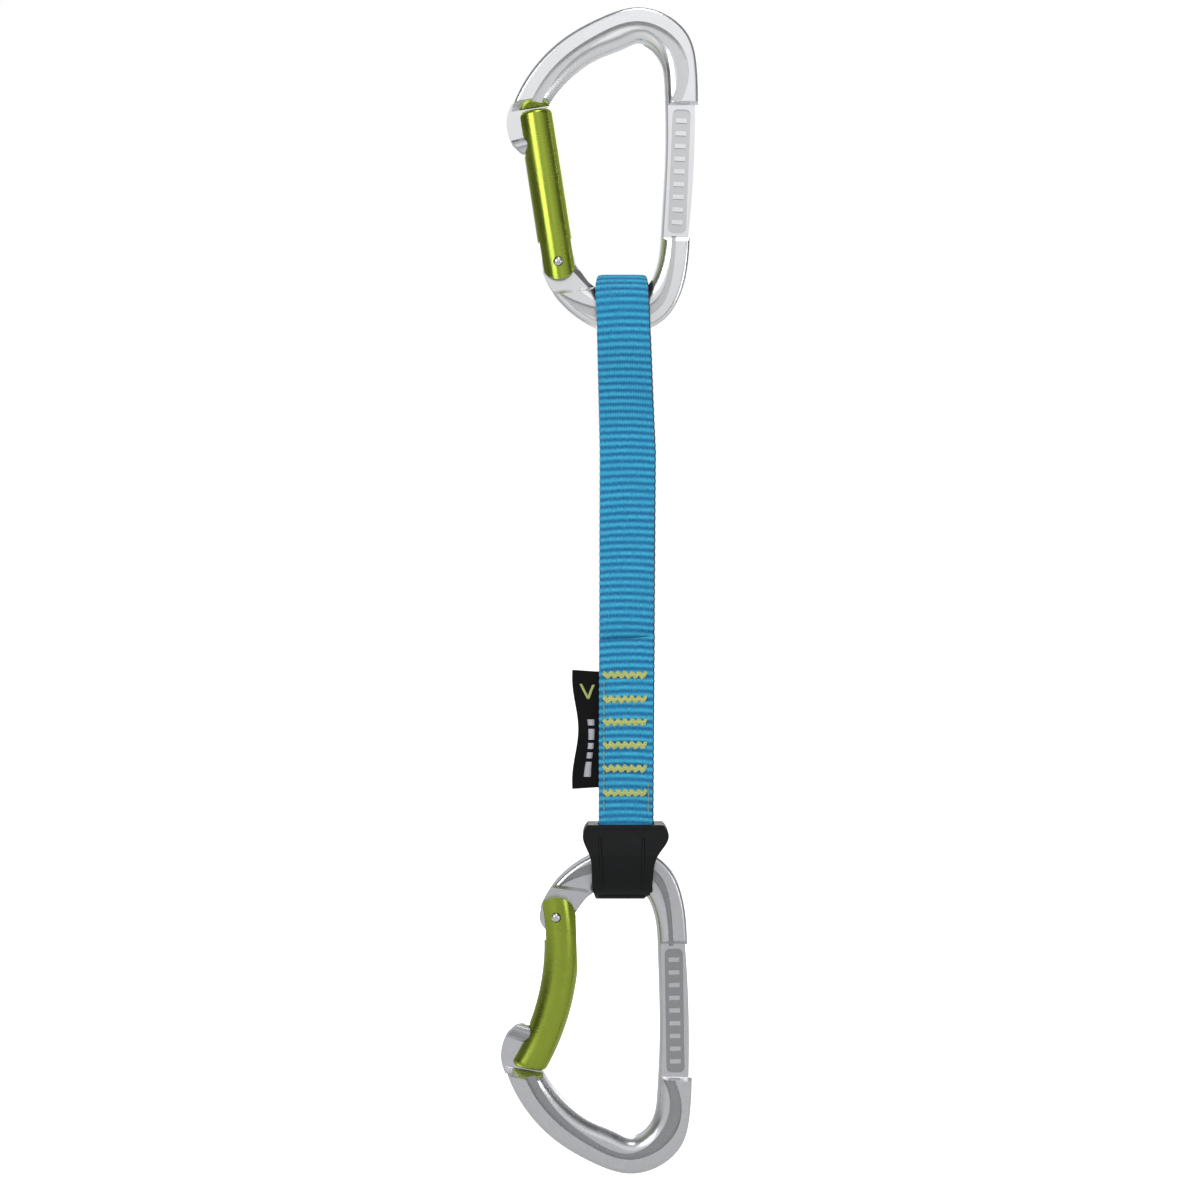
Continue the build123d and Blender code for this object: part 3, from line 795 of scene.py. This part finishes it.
def soft_box(name, place, size, power):
    """A square lamp that points at the quickdraw."""
    light = bpy.data.lights.new(name, "AREA")
    light.shape = "SQUARE"
    light.size = size
    light.energy = power
    lamp = bpy.data.objects.new(name, light)
    bpy.context.scene.collection.objects.link(lamp)
    lamp.location = AIM + Vector(place)
    lamp.rotation_euler = (AIM - lamp.location).to_track_quat("-Z", "Y").to_euler()


def surroundings():
    """A studio of light and dark panels for the metal to reflect, which the camera sees as white."""
    world = bpy.data.worlds.new("studio")
    bpy.context.scene.world = world
    world.use_nodes = True
    tree = world.node_tree
    tree.nodes.clear()
    way = add(tree, "SeparateXYZ", {0: add(tree, "TexCoord").outputs["Generated"]})
    ring = ramp(tree, spread(tree, way.outputs["Y"], -1, 1, 0, 1), 0.9, 0.8, RING_SHADES)
    rise = ramp(tree, spread(tree, way.outputs["Z"], -0.35, 0.35, 0, 1), 0.9, 1.0, RISE_SHADES)
    bands = math_node(tree, "SINE", math_node(tree, "MULTIPLY", way.outputs["X"], 9.0))
    level = math_node(tree, "MULTIPLY", ring, rise)
    level = math_node(tree, "MULTIPLY", level, spread(tree, bands, -1, 1, 0.95, 1.25))
    around = add(tree, "Background", {"Color": (0.97, 0.985, 1, 1), "Strength": level})
    seen = add(tree, "Background", {"Color": (1, 1, 1, 1), "Strength": 1.0})
    camera_ray = add(tree, "LightPath").outputs["Is Camera Ray"]
    both = add(tree, "MixShader", {0: camera_ray, 1: around.outputs[0], 2: seen.outputs[0]})
    tree.links.new(both.outputs[0], add(tree, "OutputWorld").inputs[0])


def camera():
    """Level, square on to the flat of the quickdraw, at the distance of a product shot."""
    view = bpy.data.cameras.new("camera")
    view.sensor_width = 36
    view.lens = 76.4
    view.clip_start = 0.01
    eye = bpy.data.objects.new("camera", view)
    bpy.context.scene.collection.objects.link(eye)
    eye.location = (-0.012, -0.765, -0.1668)
    eye.rotation_euler = (math.pi / 2, 0, 0)
    bpy.context.scene.camera = eye


stage_floor()
for name, (place, size, power) in SOFT_BOXES.items():
    soft_box(name, place, size, power)
surroundings()
camera()
bpy.context.scene.view_settings.view_transform = "Standard"
